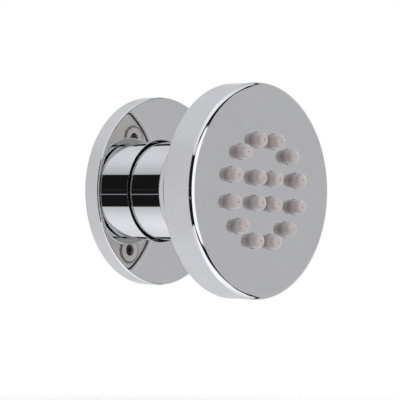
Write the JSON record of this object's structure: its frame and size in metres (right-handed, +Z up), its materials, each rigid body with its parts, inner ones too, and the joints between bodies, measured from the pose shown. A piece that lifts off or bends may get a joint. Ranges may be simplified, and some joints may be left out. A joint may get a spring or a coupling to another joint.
{
  "type": "shower body jet",
  "caption": "Round chrome shower body jet for a wall: a wall flange, a plain round neck with a ball joint inside, and a flat spray head with soft rub-clean nozzles.",
  "frame": {"origin": "on the jet's axis, in the plane of the wall that the flange's back edge rests on", "axes": "+Y into the wall along the pipe thread, -Y the way the spray leaves, +Z up, +X to the right as seen from the front"},
  "size_m": [0.07, 0.0669, 0.07],
  "materials": {
    "chrome": "mirror polished plating",
    "brass": "machined",
    "black_rubber": "matt",
    "grey_silicone": "satin, slightly translucent",
    "grey_plastic": "fine moulded grain",
    "white_plastic": "smooth moulded",
    "steel_mesh": "bright",
    "black_screw": "black oxide"
  },
  "bodies": {
    "wall_unit": {"wall_flange": "chrome", "flange_seal": "black_rubber", "inlet_body": "brass", "inlet_washer": "black_rubber", "flow_limiter": "white_plastic", "limiter_seal": "black_rubber", "filter_washer": "black_rubber", "filter_mesh": "steel_mesh", "neck_collar": "chrome", "ball_seal": "black_rubber"},
    "seat": {"seat_ring": "white_plastic"},
    "tilt_ring": {"stem_washer": "black_rubber"},
    "head": {"ball_stem": "chrome", "back_plate": "grey_plastic", "cover_screws": "black_screw", "nozzle_mat": "grey_silicone", "head_shell": "chrome"}
  },
  "joints": [
    {"name": "head_turn", "type": "hinge", "parent": "wall_unit", "child": "seat", "pos_m": [0, -0.0145, 0], "axis": [0, -1, 0], "continuous": true},
    {"name": "head_tilt", "type": "hinge", "parent": "seat", "child": "tilt_ring", "pos_m": [0, -0.0145, 0], "axis": [1, 0, 0], "range_deg": [-15, 15]},
    {"name": "head_spin", "type": "hinge", "parent": "tilt_ring", "child": "head", "pos_m": [0, -0.0145, 0], "axis": [0, -1, 0], "continuous": true}
  ]
}
